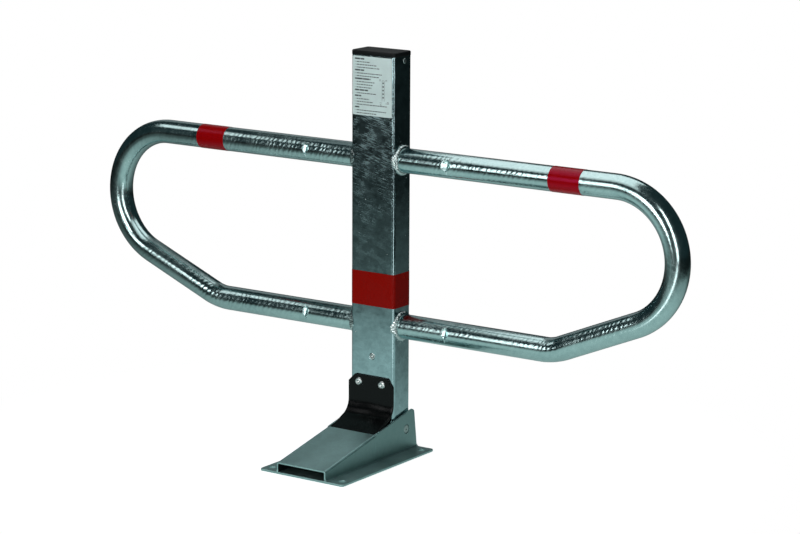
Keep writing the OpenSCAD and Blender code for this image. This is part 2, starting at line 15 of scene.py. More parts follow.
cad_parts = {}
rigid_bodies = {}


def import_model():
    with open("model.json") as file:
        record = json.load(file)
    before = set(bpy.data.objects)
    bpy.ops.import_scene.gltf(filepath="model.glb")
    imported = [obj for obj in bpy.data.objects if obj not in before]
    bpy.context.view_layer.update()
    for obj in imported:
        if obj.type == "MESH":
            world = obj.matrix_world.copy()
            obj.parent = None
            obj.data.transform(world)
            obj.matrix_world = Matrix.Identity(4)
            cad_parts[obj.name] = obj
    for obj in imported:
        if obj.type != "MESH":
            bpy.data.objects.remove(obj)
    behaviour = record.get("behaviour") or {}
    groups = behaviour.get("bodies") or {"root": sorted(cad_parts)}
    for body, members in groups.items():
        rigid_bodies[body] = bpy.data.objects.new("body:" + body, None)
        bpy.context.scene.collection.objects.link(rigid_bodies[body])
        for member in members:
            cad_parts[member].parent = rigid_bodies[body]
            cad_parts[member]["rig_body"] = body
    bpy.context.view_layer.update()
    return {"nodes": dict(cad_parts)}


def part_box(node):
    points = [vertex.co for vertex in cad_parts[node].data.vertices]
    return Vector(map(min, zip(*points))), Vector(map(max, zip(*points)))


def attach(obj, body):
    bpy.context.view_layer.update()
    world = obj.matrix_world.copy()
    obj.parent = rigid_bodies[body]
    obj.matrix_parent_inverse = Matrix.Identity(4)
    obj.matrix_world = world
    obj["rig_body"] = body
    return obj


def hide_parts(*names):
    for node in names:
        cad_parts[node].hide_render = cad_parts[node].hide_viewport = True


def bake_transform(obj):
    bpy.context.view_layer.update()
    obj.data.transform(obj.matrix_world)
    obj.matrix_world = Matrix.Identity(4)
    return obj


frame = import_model()

MM = 0.001

# --- sizes taken from the frame ---


def node_box(name):
    """Lowest and highest corner of a CAD node in millimetres."""
    return [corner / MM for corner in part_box(name)]


POST_LOW, POST_HIGH = node_box("post_tube")
POST_SIDE = POST_HIGH.x
POST_FRONT = POST_LOW.y
POST_BACK = POST_HIGH.y
POST_MID = (POST_FRONT + POST_BACK) / 2
POST_HALF_D = (POST_BACK - POST_FRONT) / 2
POST_TOP = POST_HIGH.z
POST_CORNER = 6

HOOP_LOW, HOOP_HIGH = node_box("hoop_right")
TUBE_R = 21.2
UPPER_Z = HOOP_HIGH.z - TUBE_R
LOWER_Z = HOOP_LOW.z + TUBE_R
BIG_BEND = 115.5
LOW_BEND = 100
SLOPE = math.radians(22.6)
BEND_X = HOOP_HIGH.x - TUBE_R - BIG_BEND
FLAT_FRONT, FLAT_OUT = 0.010, 0.022  # how much a bend widens the tube front to back, and thins it
NOTCH_X = 145
NOTCH_ARC = math.radians(39)
NOTCH_ZONE = 9.6  # how far from a notch's middle the rings stand close together
NOTCH_STEP = 0.4
# a notch's reach along its arm towards -X and +X, its depth, and where round the tube its deep
# part starts, as a share of the arc
Notch = namedtuple("Notch", "reach_left reach_right depth deep_from")
SIDE = {1: "_right", -1: "_left"}
# by side, then by arm: 0 for the upper arm and 1 for the lower
NOTCHES = {(1, 0): Notch(9.2, 9.2, 7.1, -0.42), (1, 1): Notch(6.4, 7.5, 5.1, -0.36),
           (-1, 0): Notch(4.8, 6.0, 4.30, -0.42), (-1, 1): Notch(5.0, 6.0, 4.50, -0.36)}
WELD_LEG = 4.6
TAPE_T = 0.3
TAPE_GAP = 0.03

PLATE_TOP = node_box("base_plate")[1].z
SHOE_LOW, SHOE_HIGH = node_box("ramp_shoe")
RAMP = math.radians(11.8)
RAMP_FRONT_Z = 20.6
RAMP_END = SHOE_LOW.y + 145
SHEET = 3
FLAP_LOW, FLAP_HIGH = node_box("hinge_flap")
FLAP_T = 4
FLAP_FACE = POST_FRONT - FLAP_T
FLAP_BEND = 27
FLAP_BEND_Z = 90
FLAP_RISE = math.radians(24)


# --- mesh helpers ---


def to_mesh(name, points, faces):
    """A mesh in metres from points in millimetres, with its faces turned outwards."""
    mesh = bpy.data.meshes.new(name)
    mesh.from_pydata([[c * MM for c in p] for p in points], [], faces)
    bm = bmesh.new()
    bm.from_mesh(mesh)
    bmesh.ops.recalc_face_normals(bm, faces=bm.faces)
    bm.to_mesh(mesh)
    bm.free()
    return mesh


def place(name, mesh, body, material, sharp):
    """Adds the mesh as a piece on a body, smooth except at edges sharper than the angle in degrees."""
    mesh.shade_smooth()
    mesh.set_sharp_from_angle(angle=math.radians(sharp))
    piece = bpy.data.objects.new(name, mesh)
    bpy.context.scene.collection.objects.link(piece)
    mesh.materials.clear()
    mesh.materials.append(material)
    if body:
        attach(piece, body)
    return piece


def stand_in(node, part, shape, body, material, sharp):
    """A piece made of (points, faces) that stands for a CAD node."""
    name = node + "_" + part
    piece = place(name, to_mesh(name, *shape), body, material, sharp)
    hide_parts(node)
    return piece


def store(piece, name, vectors):
    """Keeps a vector in metres for each point of the piece, for its material to read."""
    stored = piece.data.attributes.new(name, "FLOAT_VECTOR", "POINT")
    for i, vector in enumerate(vectors):
        stored.data[i].vector = vector


def wrap(rings, closed=True):
    """Points and faces of a skin over equal rings; if closed, the last ring joins the first."""
    size, count = len(rings[0]), len(rings)
    faces = []
    for i in range(count if closed else count - 1):
        j = (i + 1) % count
        for k in range(size):
            n = (k + 1) % size
            faces.append((i * size + k, i * size + n, j * size + n, j * size + k))
    return [p for ring in rings for p in ring], faces


def loft(rings):
    """Points and faces of a skin over equal rings, with both ends filled."""
    points, faces = wrap(rings, closed=False)
    size = len(rings[0])
    faces.append(tuple(range(size - 1, -1, -1)))
    faces.append(tuple(range(len(points) - size, len(points))))
    return points, faces


def joined(parts):
    """Several (points, faces) pairs as one."""
    points, faces = [], []
    for some_points, some_faces in parts:
        base = len(points)
        points += some_points
        faces += [tuple(base + i for i in face) for face in some_faces]
    return points, faces


def rounded_outline(half_w, half_d, r, steps=8):
    """Points round a rectangle with round corners, centred on the origin."""
    points = []
    for corner, (sx, sy) in enumerate([(1, 1), (-1, 1), (-1, -1), (1, -1)]):
        for i in range(steps + 1):
            a = math.radians(90 * corner + 90 * i / steps)
            points.append((sx * (half_w - r) + r * math.cos(a), sy * (half_d - r) + r * math.sin(a)))
    return points


def smooth_max(a, b, soft):
    """The larger of two heights with the crease between them rounded."""
    return (a + b + math.sqrt((a - b) ** 2 + soft ** 2)) / 2


def eased(t):
    """Smooth step from 0 to 1."""
    t = max(0.0, min(1.0, t))
    return t * t * (3 - 2 * t)


def bead(centre, size, flat, seed):
    """A small lump of zinc or weld metal: a squashed ball with an uneven skin."""
    bm = bmesh.new()
    bmesh.ops.create_icosphere(bm, subdivisions=2, radius=1)
    points = []
    for vert in bm.verts:
        swell = 1 + 0.18 * noise.noise(vert.co * 1.7 + Vector((seed, 0, 0)))
        points.append([centre[i] + vert.co[i] * size * swell * flat[i] for i in range(3)])
    faces = [tuple(v.index for v in face.verts) for face in bm.faces]
    bm.free()
    return points, faces


def softened(node, material, width):
    """A piece with the CAD node's shape and its sharp edges rounded, which stands for the node."""
    source = frame["nodes"][node]
    mesh = source.data.copy()
    bm = bmesh.new()
    bm.from_mesh(mesh)
    bmesh.ops.remove_doubles(bm, verts=bm.verts, dist=2e-6)
    bmesh.ops.dissolve_limit(bm, angle_limit=math.radians(0.3), verts=bm.verts, edges=bm.edges)
    edges = [e for e in bm.edges if len(e.link_faces) == 2 and e.calc_face_angle() > math.radians(35)]
    bmesh.ops.bevel(bm, geom=edges, offset=width * MM, segments=2, profile=0.5, affect="EDGES")
    bmesh.ops.recalc_face_normals(bm, faces=bm.faces)
    bm.to_mesh(mesh)
    bm.free()
    piece = place(node + "_finished", mesh, source["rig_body"], material, 35)
    even = piece.modifiers.new("even_shading", "WEIGHTED_NORMAL")
    even.keep_sharp = True
    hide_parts(node)


# --- materials ---


class Finish:
    """A node material being built; each call adds a node and gives back its useful output."""

    def __init__(self, name, **settings):
        self.material = bpy.data.materials.new(name)
        self.material.use_nodes = True
        self.tree = self.material.node_tree
        self.shader = self.tree.nodes["Principled BSDF"]
        for key, value in settings.items():
            self.shader.inputs[key.replace("_", " ")].default_value = value

    def add(self, kind, output, inputs=None, **settings):
        node = self.tree.nodes.new("ShaderNode" + kind)
        for key, value in settings.items():
            setattr(node, key, value)
        for key, value in (inputs or {}).items():
            if isinstance(value, bpy.types.NodeSocket):
                self.tree.links.new(value, node.inputs[key])
            else:
                node.inputs[key].default_value = value
        return node.outputs[output]

    def where(self, attribute=None):
        """Coordinates in metres: the object's own, or an attribute stored on the mesh."""
        if attribute:
            return self.add("Attribute", "Vector", attribute_name=attribute)
        return self.add("TexCoord", "Object")

    def turned(self, at, angle, scale=(1, 1, 1)):
        """Coordinates turned by degrees about Y, then stretched."""
        spin = self.add("Mapping", "Vector", {"Vector": at, "Rotation": (0, math.radians(angle), 0)})
        return self.add("Mapping", "Vector", {"Vector": spin, "Scale": scale})

    def noise(self, at, scale, detail=3, rough=0.5):
        """Cloudy values from 0 to 1; the scale is features to a metre."""
        return self.add("TexNoise", "Fac", {"Vector": at, "Scale": scale, "Detail": detail,
                                            "Roughness": rough})

    def axis(self, at, name):
        """One coordinate, X, Y or Z."""
        return self.add("SeparateXYZ", name, {"Vector": at})

    def cells(self, at, scale):
        """One random value from 0 to 1 for each cell of a crystal pattern."""
        colour = self.add("TexVoronoi", "Color", {"Vector": at, "Scale": scale})
        return self.add("SeparateColor", "Red", {"Color": colour})

    def math(self, operation, a, b=0.0, clamp=False):
        return self.add("Math", "Value", {0: a, 1: b}, operation=operation, use_clamp=clamp)

    def times(self, a, b):
        return self.math("MULTIPLY", a, b)

    def fit(self, value, low, high, to_low=0.0, to_high=1.0):
        """Maps a range onto another, clamped."""
        return self.add("MapRange", "Result", {"Value": value, "From Min": low, "From Max": high,
                                               "To Min": to_low, "To Max": to_high})

    def mix(self, factor, a, b, blend="MIX"):
        """Colour a with as much of b as the factor says; this node's colour sockets go by number."""
        return self.add("Mix", 2, {0: factor, 6: a, 7: b}, data_type="RGBA", blend_type=blend)

    def total(self, start, *amounts):
        """The start value plus each (value, weight) pair's product."""
        for value, weight in amounts:
            start = self.math("ADD", start, self.times(value, weight))
        return start

    def bump(self, height, distance, normal=None):
        """Bump from a height of 0 to 1 that stands for this many millimetres."""
        inputs = {"Height": height, "Distance": distance * MM}
        if normal is not None:
            inputs["Normal"] = normal
        return self.add("Bump", "Normal", inputs)

    def plug(self, **sockets):
        for key, value in sockets.items():
            self.tree.links.new(value, self.shader.inputs[key.replace("_", " ")])
        return self.material


def crystals(f, at):
    """Large and small zinc crystals with wavering borders, each of its own random value."""
    waver = (0.012, 0.012, 0.012)
    drift = f.add("TexNoise", "Color", {"Vector": at, "Scale": 60.0, "Detail": 2.0})
    bent = f.add("VectorMath", "Vector", {0: drift, 1: waver}, operation="MULTIPLY")
    bent = f.add("VectorMath", "Vector", {0: at, 1: bent}, operation="ADD")
    return f.cells(bent, 85), f.cells(bent, 230)


# how streaks and scratches look: how the streaks are stretched, their contrast, the scratches'
# contrast, and the size and contrast of the patches that hold the scratches
Marks = namedtuple("Marks", "stretch drag_range fine_range patch patch_range")
DIPPED = Marks((190, 190, 24), (0.40, 0.66), (0.55, 0.66), 26, (0.38, 0.60))
RUBBED = Marks((420, 420, 22), (0.48, 0.70), (0.51, 0.63), 30, (0.36, 0.52))


def marks(f, at, kind, streak_turn, scratch_turn):
    """Drag streaks and finer scratches, from 0 to 1; the turns are degrees about Y."""
    drag_at = f.turned(at, streak_turn, kind.stretch)
    fine_at = f.turned(at, streak_turn + scratch_turn, (1000, 1000, 52))
    drag = f.fit(f.noise(drag_at, 1, 3, 0.6), *kind.drag_range)
    fine = f.fit(f.noise(fine_at, 1, 2), *kind.fine_range)
    return drag, f.times(fine, f.fit(f.noise(at, kind.patch), *kind.patch_range))


def post_rub(f, at, low, high):
    """How rubbed the post is: more from one height to another, in metres, and little on its sides."""
    side = f.math("ABSOLUTE", f.axis(at, "X"))
    face = f.fit(side, (POST_SIDE - 0.5) * MM, (POST_SIDE - 1.5) * MM, 0.25, 1.0)
    return f.times(f.fit(f.axis(at, "Z"), low, high, 0.15, 1.0), face)


def comb_ridges(f, at, turn):
    """Slanting ridges in patches on the hoops' fronts.

    The coordinates are tube_place: X is the way along the tube from the upper root, negative on the
    left, and Y how far the skin stands in front of the tube's middle."""
    ridge = f.add("TexWave", "Fac", {"Vector": f.turned(at, turn), "Scale": 38.0, "Distortion": 6.0,
                                     "Detail": 2.0, "Detail Scale": 1.2})
    along = f.math("ABSOLUTE", f.axis(at, "X"))
    in_bend = f.times(f.fit(along, 0.34, 0.42), f.fit(along, 0.74, 0.68))
    outside_bend = f.fit(in_bend, 0.0, 1.0, 1.0, 0.0)
    in_front = f.fit(f.axis(at, "Y"), 0.009, 0.016)
    near_root = f.fit(along, 0.98, 1.10, 1.0, 0.35)
    patch = f.times(f.fit(f.noise(at, 15, 2), 0.38, 0.58), in_front)
    return f.times(ridge, f.times(f.times(patch, outside_bend), near_root))


def painted_shoe_shade_masks(f, at):
    """Two values from 0 to 1 for painted shade: the dark space under the ramp sheet, and the walls' outer
    faces.
    """
    inner = (SHOE_HIGH.x - SHEET + 0.2) * MM
    outer = (SHOE_HIGH.x - 0.3) * MM
    roof_at_zero = (RAMP_FRONT_Z - SHOE_LOW.y * math.tan(RAMP) - SHEET + 0.8) * MM
    depth = f.axis(at, "Y")
    side = f.math("ABSOLUTE", f.axis(at, "X"))
    roof = f.math("ADD", f.times(depth, math.tan(RAMP)), roof_at_zero)
    under = f.times(f.math("LESS_THAN", f.axis(at, "Z"), roof), f.math("LESS_THAN", side, inner))
    fading = f.fit(depth, RAMP_END * MM, (RAMP_END - 12) * MM)
    return f.times(under, fading), f.math("GREATER_THAN", side, outer)


def galvanised(name, light, dark, rough, attribute=None, streak_turn=25, streak=1.0, spangle=1.0,
               wave=1.0, mottle=1.0, scratch=1.0, scratch_turn=40, comb=0.0, cloud_dull=0.10,
               cloud_size=14, cloud_flat=1.0, rubbed=None, shoe=False):
    """Hot-dip zinc: crystal patches, cloudy tone, drag streaks and a slightly wavy skin.

    rubbed is the two heights in metres between which the post's scratches grow stronger."""
    f = Finish(name, Metallic=1.0)
    at = f.where(attribute)
    crystal, small = crystals(f, at)
    cloud = f.noise(f.turned(at, 12, (1, 1, cloud_flat)), cloud_size, 5, 0.62)
    grain = f.noise(at, 420, 4, 0.65)
    haze = f.fit(cloud, 0.38, 0.68, 0.0, cloud_dull)
    drag, fine = marks(f, at, RUBBED if rubbed else DIPPED, streak_turn, scratch_turn)
    if rubbed:
        rub = post_rub(f, at, *rubbed)
        haze, drag, fine = f.times(haze, rub), f.times(drag, rub), f.times(fine, rub)

    tone = f.total(f.fit(cloud, 0.3, 0.7, 0.0, 0.32), (crystal, 0.30 * spangle), (small, 0.16 * spangle),
                   (grain, 0.22), (drag, 0.20 * streak))
    tone = f.math("ADD", tone, f.times(fine, 0.22 * scratch), clamp=True)
    colour = f.mix(tone, (*dark, 1), (*light, 1))
    dull = f.total(f.math("ADD", haze, rough), (crystal, 0.10 * spangle), (grain, 0.08),
                   (drag, 0.05 * streak), (fine, 0.16 * scratch))

    skin = f.bump(f.noise(at, 22, 2), 0.55 * wave)
    skin = f.bump(drag, 0.05 * streak, skin)
    skin = f.bump(f.noise(at, 160), 0.035 * wave * mottle, skin)
    skin = f.bump(fine, 0.012 * scratch, skin)
    if comb:
        skin = f.bump(comb_ridges(f, at, streak_turn), comb, skin)
    if shoe:
        # painted shade on the shoe: the space under the ramp sheet is painted near black, and the walls'
        # outer faces are painted darker
        painted_shade_under_ramp, outer = painted_shoe_shade_masks(f, at)
        colour = f.mix(f.times(outer, 0.34), colour, (0.05, 0.07, 0.07, 1))
        colour = f.mix(painted_shade_under_ramp, colour, (0.03, 0.04, 0.04, 1))
        dull = f.total(dull, (painted_shade_under_ramp, 0.3))
    return f.plug(Base_Color=colour, Roughness=dull, Normal=skin)


def turned_metal(name, colour, rough):
    """Plated or machined metal with fine tool marks."""
    f = Finish(name, Metallic=1.0)
    at = f.where()
    mark = f.noise(at, 900, 3, 0.6)
    cloud = f.noise(at, 90)
    tone = f.mix(f.fit(cloud, 0.3, 0.7), (*[c * 0.72 for c in colour], 1), (*colour, 1))
    dull = f.total(rough, (mark, 0.16))
    return f.plug(Base_Color=tone, Roughness=dull, Normal=f.bump(mark, 0.01))


def moulded(name, colour, rough, grain, depth, specular, attribute=None):
    """Moulded plastic or rubber: fine leathery grain and a faint bloom."""
    f = Finish(name, Specular_IOR_Level=specular)
    at = f.where(attribute)
    pits = f.noise(at, grain, 4, 0.7)
    cloud = f.noise(at, 22, 4, 0.6)
    tone = f.mix(f.fit(cloud, 0.4, 0.75), (*colour, 1), (*[c * 2 + 0.001 for c in colour], 1))
    dull = f.total(f.fit(cloud, 0.35, 0.7, rough - 0.08, rough), (pits, 0.18))
    skin = f.bump(cloud, 0.25)
    return f.plug(Base_Color=tone, Roughness=dull, Normal=f.bump(pits, depth, skin))


def tape(name, colour, specular, attribute=None, sheen=(1, 1, 1)):
    """Glossy reflective tape: a faint bead pattern under a smooth film; sheen tints its highlights."""
    f = Finish(name, Specular_IOR_Level=specular, Specular_Tint=(*sheen, 1))
    at = f.where(attribute)
    bead_size = f.add("TexVoronoi", "Distance", {"Vector": at, "Scale": 900.0})
    cloud = f.noise(at, 35)
    depth = f.math("ADD", f.times(bead_size, 0.35), f.times(cloud, 0.5), clamp=True)
    tone = f.mix(depth, (*colour, 1), (*[c * 0.72 for c in colour], 1))
    dull = f.fit(cloud, 0.3, 0.7, 0.22, 0.34)
    skin = f.bump(f.noise(at, 45, 2), 0.12)
    return f.plug(Base_Color=tone, Roughness=dull, Normal=f.bump(bead_size, 0.01, skin))


def film(name, colour, stain):
    """Printed label film: slightly mottled and satin."""
    f = Finish(name, Specular_IOR_Level=0.45)
    at = f.where()
    cloud = f.noise(at, 30, 5, 0.6)
    speck = f.fit(f.noise(at, 900, 2), 0.66, 0.74)
    tone = f.mix(f.fit(cloud, 0.35, 0.7), (*colour, 1), (*stain, 1))
    tone = f.mix(f.times(speck, 0.25), tone, (0.2, 0.22, 0.22, 1))
    dull = f.fit(cloud, 0.3, 0.7, 0.38, 0.5)
    return f.plug(Base_Color=tone, Roughness=dull, Normal=f.bump(cloud, 0.08))


POST_ZINC = galvanised("zinc_on_post", (0.54, 0.74, 0.77), (0.25, 0.36, 0.38), 0.06,
                       streak_turn=-100, streak=0.45, spangle=0.7, mottle=1.3, scratch=1.2,
                       scratch_turn=-3, cloud_dull=0.10, cloud_size=48, cloud_flat=1.6,
                       rubbed=(0.30, 0.56))
TUBE_ZINC = galvanised("zinc_on_tube", (0.61, 0.79, 0.78), (0.35, 0.50, 0.51), 0.06,
                       attribute="tube_place", streak_turn=-32, streak=0.9, spangle=0.5,
                       wave=0.25, scratch=0.15, comb=0.17)
PLATE_ZINC = galvanised("zinc_on_plate", (0.50, 0.72, 0.71), (0.29, 0.44, 0.43), 0.38,
                        streak=0.35, spangle=0.25, wave=0.5, scratch=0.4)
BASE_ZINC = galvanised("zinc_on_shoe", (0.56, 0.81, 0.80), (0.28, 0.44, 0.435), 0.36,
                       streak=0.45, spangle=0.30, wave=0.6, scratch=0.4, shoe=True)
WELD_ZINC = galvanised("zinc_on_weld", (0.78, 0.86, 0.85), (0.44, 0.52, 0.52), 0.12,
                       streak=0.3, spangle=0.4, scratch=0.2)
HIDDEN_ZINC = galvanised("zinc_inside", (0.44, 0.51, 0.50), (0.22, 0.27, 0.27), 0.34, spangle=0.5)
BRIGHT_ZINC = turned_metal("zinc_plate", (0.80, 0.85, 0.84), 0.26)
DULL_ZINC = turned_metal("zinc_plate_dull", (0.45, 0.53, 0.52), 0.30)
STAINLESS = turned_metal("stainless", (0.62, 0.68, 0.67), 0.20)
SPRING_STEEL = turned_metal("spring_steel", (0.32, 0.34, 0.34), 0.26)
BRASS = turned_metal("brass", (0.72, 0.56, 0.27), 0.20)
BLACK_PLASTIC = moulded("black_plastic", (0.003, 0.004, 0.0045), 0.44, 1400, 0.02, specular=0.20)
RUBBER = moulded("black_rubber", (0.0008, 0.0012, 0.0013), 0.20, 1100, 0.03, specular=0.18,
                 attribute="rest_place")
POST_RED = tape("red_tape_on_post", (0.31, 0.0025, 0.0002), specular=0.12)
ARM_RED = tape("red_tape_on_arm", (0.37, 0.0010, 0.0002), specular=0.45, attribute="tube_place",
               sheen=(1, 0.08, 0.45))
LABEL = film("label_film", (0.70, 0.84, 0.83), (0.62, 0.74, 0.73))
INK = film("label_ink", (0.05, 0.065, 0.07), (0.09, 0.11, 0.115))


# --- hoops ---


def hoop_line():
    """The right hoop's centre line, and how far along it the two notches are.

    Each place from the upper root to the lower is (distance, x, z, angle, how bent from 0 to 1)."""
    root = POST_SIDE - 0.4  # the tube starts a little inside the post's skin
    bend_z = UPPER_Z - BIG_BEND
    run_x = BEND_X + BIG_BEND * math.sin(SLOPE)
    run_z = bend_z - BIG_BEND * math.cos(SLOPE)
    corner_x = run_x - (run_z - LOWER_Z) / math.tan(SLOPE)
    tangent = LOW_BEND * math.tan(SLOPE / 2)
    low_x = corner_x - tangent
    sloping = math.hypot(run_x - corner_x, run_z - LOWER_Z) - tangent
    ends = list(accumulate((BEND_X - root, BIG_BEND * (math.pi - SLOPE), sloping, LOW_BEND * SLOPE,
                            low_x - root)))

    def at(s):
        if s <= ends[0]:
            return root + s, UPPER_Z, 0.0
        if s <= ends[1]:
            a = (s - ends[0]) / BIG_BEND
            return BEND_X + BIG_BEND * math.sin(a), bend_z + BIG_BEND * math.cos(a), -a
        if s <= ends[2]:
            d = s - ends[1]
            return run_x - d * math.cos(SLOPE), run_z - d * math.sin(SLOPE), SLOPE - math.pi
        if s <= ends[3]:
            a = SLOPE - (s - ends[2]) / LOW_BEND
            return low_x + LOW_BEND * math.sin(a), LOWER_Z + LOW_BEND * (1 - math.cos(a)), a - math.pi
        return low_x - (s - ends[3]), LOWER_Z, -math.pi

    def bent(s, start, stop, fade):
        """1 inside a bend, falling to 0 over the fade at both its ends."""
        return min(1, max(0, min(s - start, stop - s) / fade))

    notches = [NOTCH_X - root, ends[4] - (NOTCH_X - root)]
    places = {0.0, ends[4]}
    spacings = (14, 3, 12, 3, 14)  # between rings, on the straights and in the two bends
    for start, stop, step in zip([0] + ends, ends, spacings):
        count = max(1, round((stop - start) / step))
        places |= {round(start + (stop - start) * i / count, 4) for i in range(count + 1)}
    close = round(NOTCH_ZONE / NOTCH_STEP)
    for middle in notches:
        places = {s for s in places if abs(s - middle) > NOTCH_ZONE}
        places |= {round(middle + i * NOTCH_STEP, 4) for i in range(-close, close + 1)}
    line = [(s, *at(s), bent(s, ends[0], ends[1], 25) + bent(s, ends[2], ends[3], 12))
            for s in sorted(places)]
    return line, notches


def notch_depth(along, turn, notch):
    """Depth of a vent notch under the tube's skin, at a distance along X and an angle round it.

    The notch is a V with a raised lip, and has a narrow slit right through the wall in its middle."""
    share = turn / NOTCH_ARC
    if abs(share) >= 1:
        return 0
    closing = 1 - abs(share) ** (4.5 if share > 0 else 3)
    spread = closing * (0.25 + 0.75 * eased((share - notch.deep_from) / 0.5))
    reach = notch.reach_right if along > 0 else notch.reach_left
    half = max(reach * spread, 0.01)
    across = abs(along)
    cut = smooth_max(notch.depth * spread * (1 - across / half), -0.15, 0.2)
    lip = 0.22 * math.exp(-((across - half) / 0.8) ** 2) * min(1, spread * 3)
    slit = eased((1.5 - abs(along - 0.9)) / 0.4) * eased((0.5 - abs(share)) / 0.1)
    return max(cut, 0) - lip + 6 * slit


def hoop(side):
    """One bent tube with its two vent notches; side is 1 for the right and -1 for the left."""
    line, notches = hoop_line()
    count = 192
    rings, places = [], []
    for s, x, z, angle, bend in line:
        ring = []
        arm = 0 if abs(s - notches[0]) < abs(s - notches[1]) else 1
        forwards = 1 - 2 * arm  # the lower arm runs back towards the post
        along = s - notches[arm]
        for k in range(count):
            turn = 2 * math.pi * k / count
            front = TUBE_R * (1 + FLAT_FRONT * bend) * math.cos(turn)
            out = TUBE_R * (1 - FLAT_OUT * bend) * math.sin(turn)
            if abs(along) < NOTCH_ZONE + 0.1 and math.cos(turn) > 0.6:
                around = forwards * math.atan2(math.sin(turn), math.cos(turn))
                kept = 1 - notch_depth(along * side * forwards, around, NOTCHES[side, arm]) / TUBE_R
                front, out = front * kept, out * kept
            ring.append((side * (x - out * math.sin(angle)), POST_MID - front, z + out * math.cos(angle)))
            places.append((side * s * MM, TUBE_R * math.cos(turn) * MM, TUBE_R * math.sin(turn) * MM))
        rings.append(ring)
    piece = stand_in("hoop" + SIDE[side], "tube", loft(rings), "post", TUBE_ZINC, 75)
    store(piece, "tube_place", places)


def post_surface(depth):
    """Half width of the post at a distance in front of or behind its middle."""
    flat = POST_HALF_D - POST_CORNER
    past = min(abs(depth) - flat, POST_CORNER)
    if past <= 0:
        return POST_SIDE
    return POST_SIDE - POST_CORNER + math.sqrt(POST_CORNER ** 2 - past ** 2)


def weld_ring(side, z, seed):
    """Points and faces of a rippled bead where an arm meets the post, with its spatter."""
    steps, profile, ripples, specks = 300, 9, 46, 26
    sunk = 0.3  # how far the bead's edges lie inside the tube and the post
    rings = []
    for i in range(steps):
        turn = 2 * math.pi * i / steps
        spot = Vector((math.cos(turn) * 3, math.sin(turn) * 3, seed))
        uneven = 0.5 * noise.noise(spot) + 0.35 * noise.noise(spot * 3)
        corner = eased((abs(math.cos(turn)) - 0.7) / 0.25)
        ring = []
        for k in range(profile):
            b = math.pi / 2 * k / (profile - 1)
            wave = abs(math.sin(ripples * turn / 2 + 1.1 * math.sin(2 * b))) - 0.6
            body = math.sin(2 * b)
            lump = 0.8 * noise.noise(Vector((turn * 6, 3.1 * b, seed)))
            leg = WELD_LEG + uneven * (0.7 + corner) + (0.75 * wave + lump) * body * (1 + 0.7 * corner)
            out = TUBE_R - sunk + (leg + sunk) * math.cos(b)
            toe = post_surface(out * math.cos(turn)) - sunk
            x = toe + (POST_SIDE + leg - toe) * math.sin(b)
            ring.append((side * x, POST_MID - out * math.cos(turn), z + out * math.sin(turn)))
        out = TUBE_R - 0.8
        ring.append((side * (POST_SIDE + 1), POST_MID - out * math.cos(turn), z + out * math.sin(turn)))
        rings.append(ring)
    parts = [wrap(rings)]
    rng = random.Random(seed)
    for _ in range(specks):
        turn = rng.uniform(0, 2 * math.pi)
        out = TUBE_R + WELD_LEG + rng.uniform(0.4, 9) * rng.random()
        y = -out * math.cos(turn)
        size = rng.uniform(0.35, 1.0)
        if abs(y) < POST_HALF_D - 2:
            spot = (side * post_surface(y), POST_MID + y, z + out * math.sin(turn))
            parts.append(bead(spot, size, (0.7, 1, 1), rng.random() * 50))
    return joined(parts)


def hoop_welds(side):
    """The two weld beads of one hoop."""
    both = joined([weld_ring(side, UPPER_Z, 3 + side), weld_ring(side, LOWER_Z, 8 + side)])
    stand_in("hoop_welds" + SIDE[side], "beads", both, "post", WELD_ZINC, 60)


def arm_tape(side):
    """Tape round an upper arm, its end lapped over its start at the back."""
    name = "hoop_band" + SIDE[side]
    low, high = node_box(name)
    centre, half = (low.x + high.x) / 2, (high.x - low.x) / 2
    steps, lap = 120, 12
    start = math.radians(150)
    rings = []
    for i in range(steps + lap + 1):
        turn = start + 2 * math.pi * i / steps
        inner = TUBE_R + TAPE_GAP + TAPE_T * eased((i - steps + 3) / 4)
        outer = inner + TAPE_T
        profile = [(-1, inner), (-1, outer - 0.12), (-0.996, outer)]
        profile += [(-edge, out) for edge, out in reversed(profile)]
        rings.append([(centre + edge * half, POST_MID - out * math.cos(turn),
                       UPPER_Z + out * math.sin(turn)) for edge, out in profile])
    piece = stand_in(name, "tape", loft(rings), "post", ARM_RED, 30)
    store(piece, "tube_place", [vert.co for vert in piece.data.vertices])


# --- post ---


def post_tape():
    """Tape round the post, its end lapped over its start at the back."""
    low, high = [corner.z for corner in node_box("post_band")]
    loop = rounded_outline(POST_SIDE, POST_HALF_D, POST_CORNER, 10)
    first = next(i for i, p in enumerate(loop) if p[0] < -20 and p[1] > POST_HALF_D - 0.01)
    loop = loop[first:] + loop[:first]
    # it starts on the back, goes round, rises onto its start and ends a little further on
    seam = loop[0][0] + 24
    path = [(seam, POST_HALF_D), *loop]
    path += [(seam + past, POST_HALF_D) for past in (3, -1, -12)]
    lap = len(path) - 2
    rings = []
    for i, (x, y) in enumerate(path):
        before, after = path[max(i - 1, 0)], path[min(i + 1, len(path) - 1)]
        away = Vector((after[1] - before[1], before[0] - after[0])).normalized()
        if away.dot(Vector((x, y))) < 0:
            away = -away
        if i == 0 or i > len(loop):
            away = Vector((0, 1))
        lift = TAPE_GAP + (TAPE_T + 0.02 if i >= lap else 0)
        ring = []
        for z, out in ((low, 0), (low, TAPE_T - 0.1), (low + 0.1, TAPE_T), (high - 0.1, TAPE_T),
                       (high, TAPE_T - 0.1), (high, 0)):
            ring.append((x + away.x * (out + lift), POST_MID + y + away.y * (out + lift), z))
        rings.append(ring)
    stand_in("post_band", "tape", loft(rings), "post", POST_RED, 30)


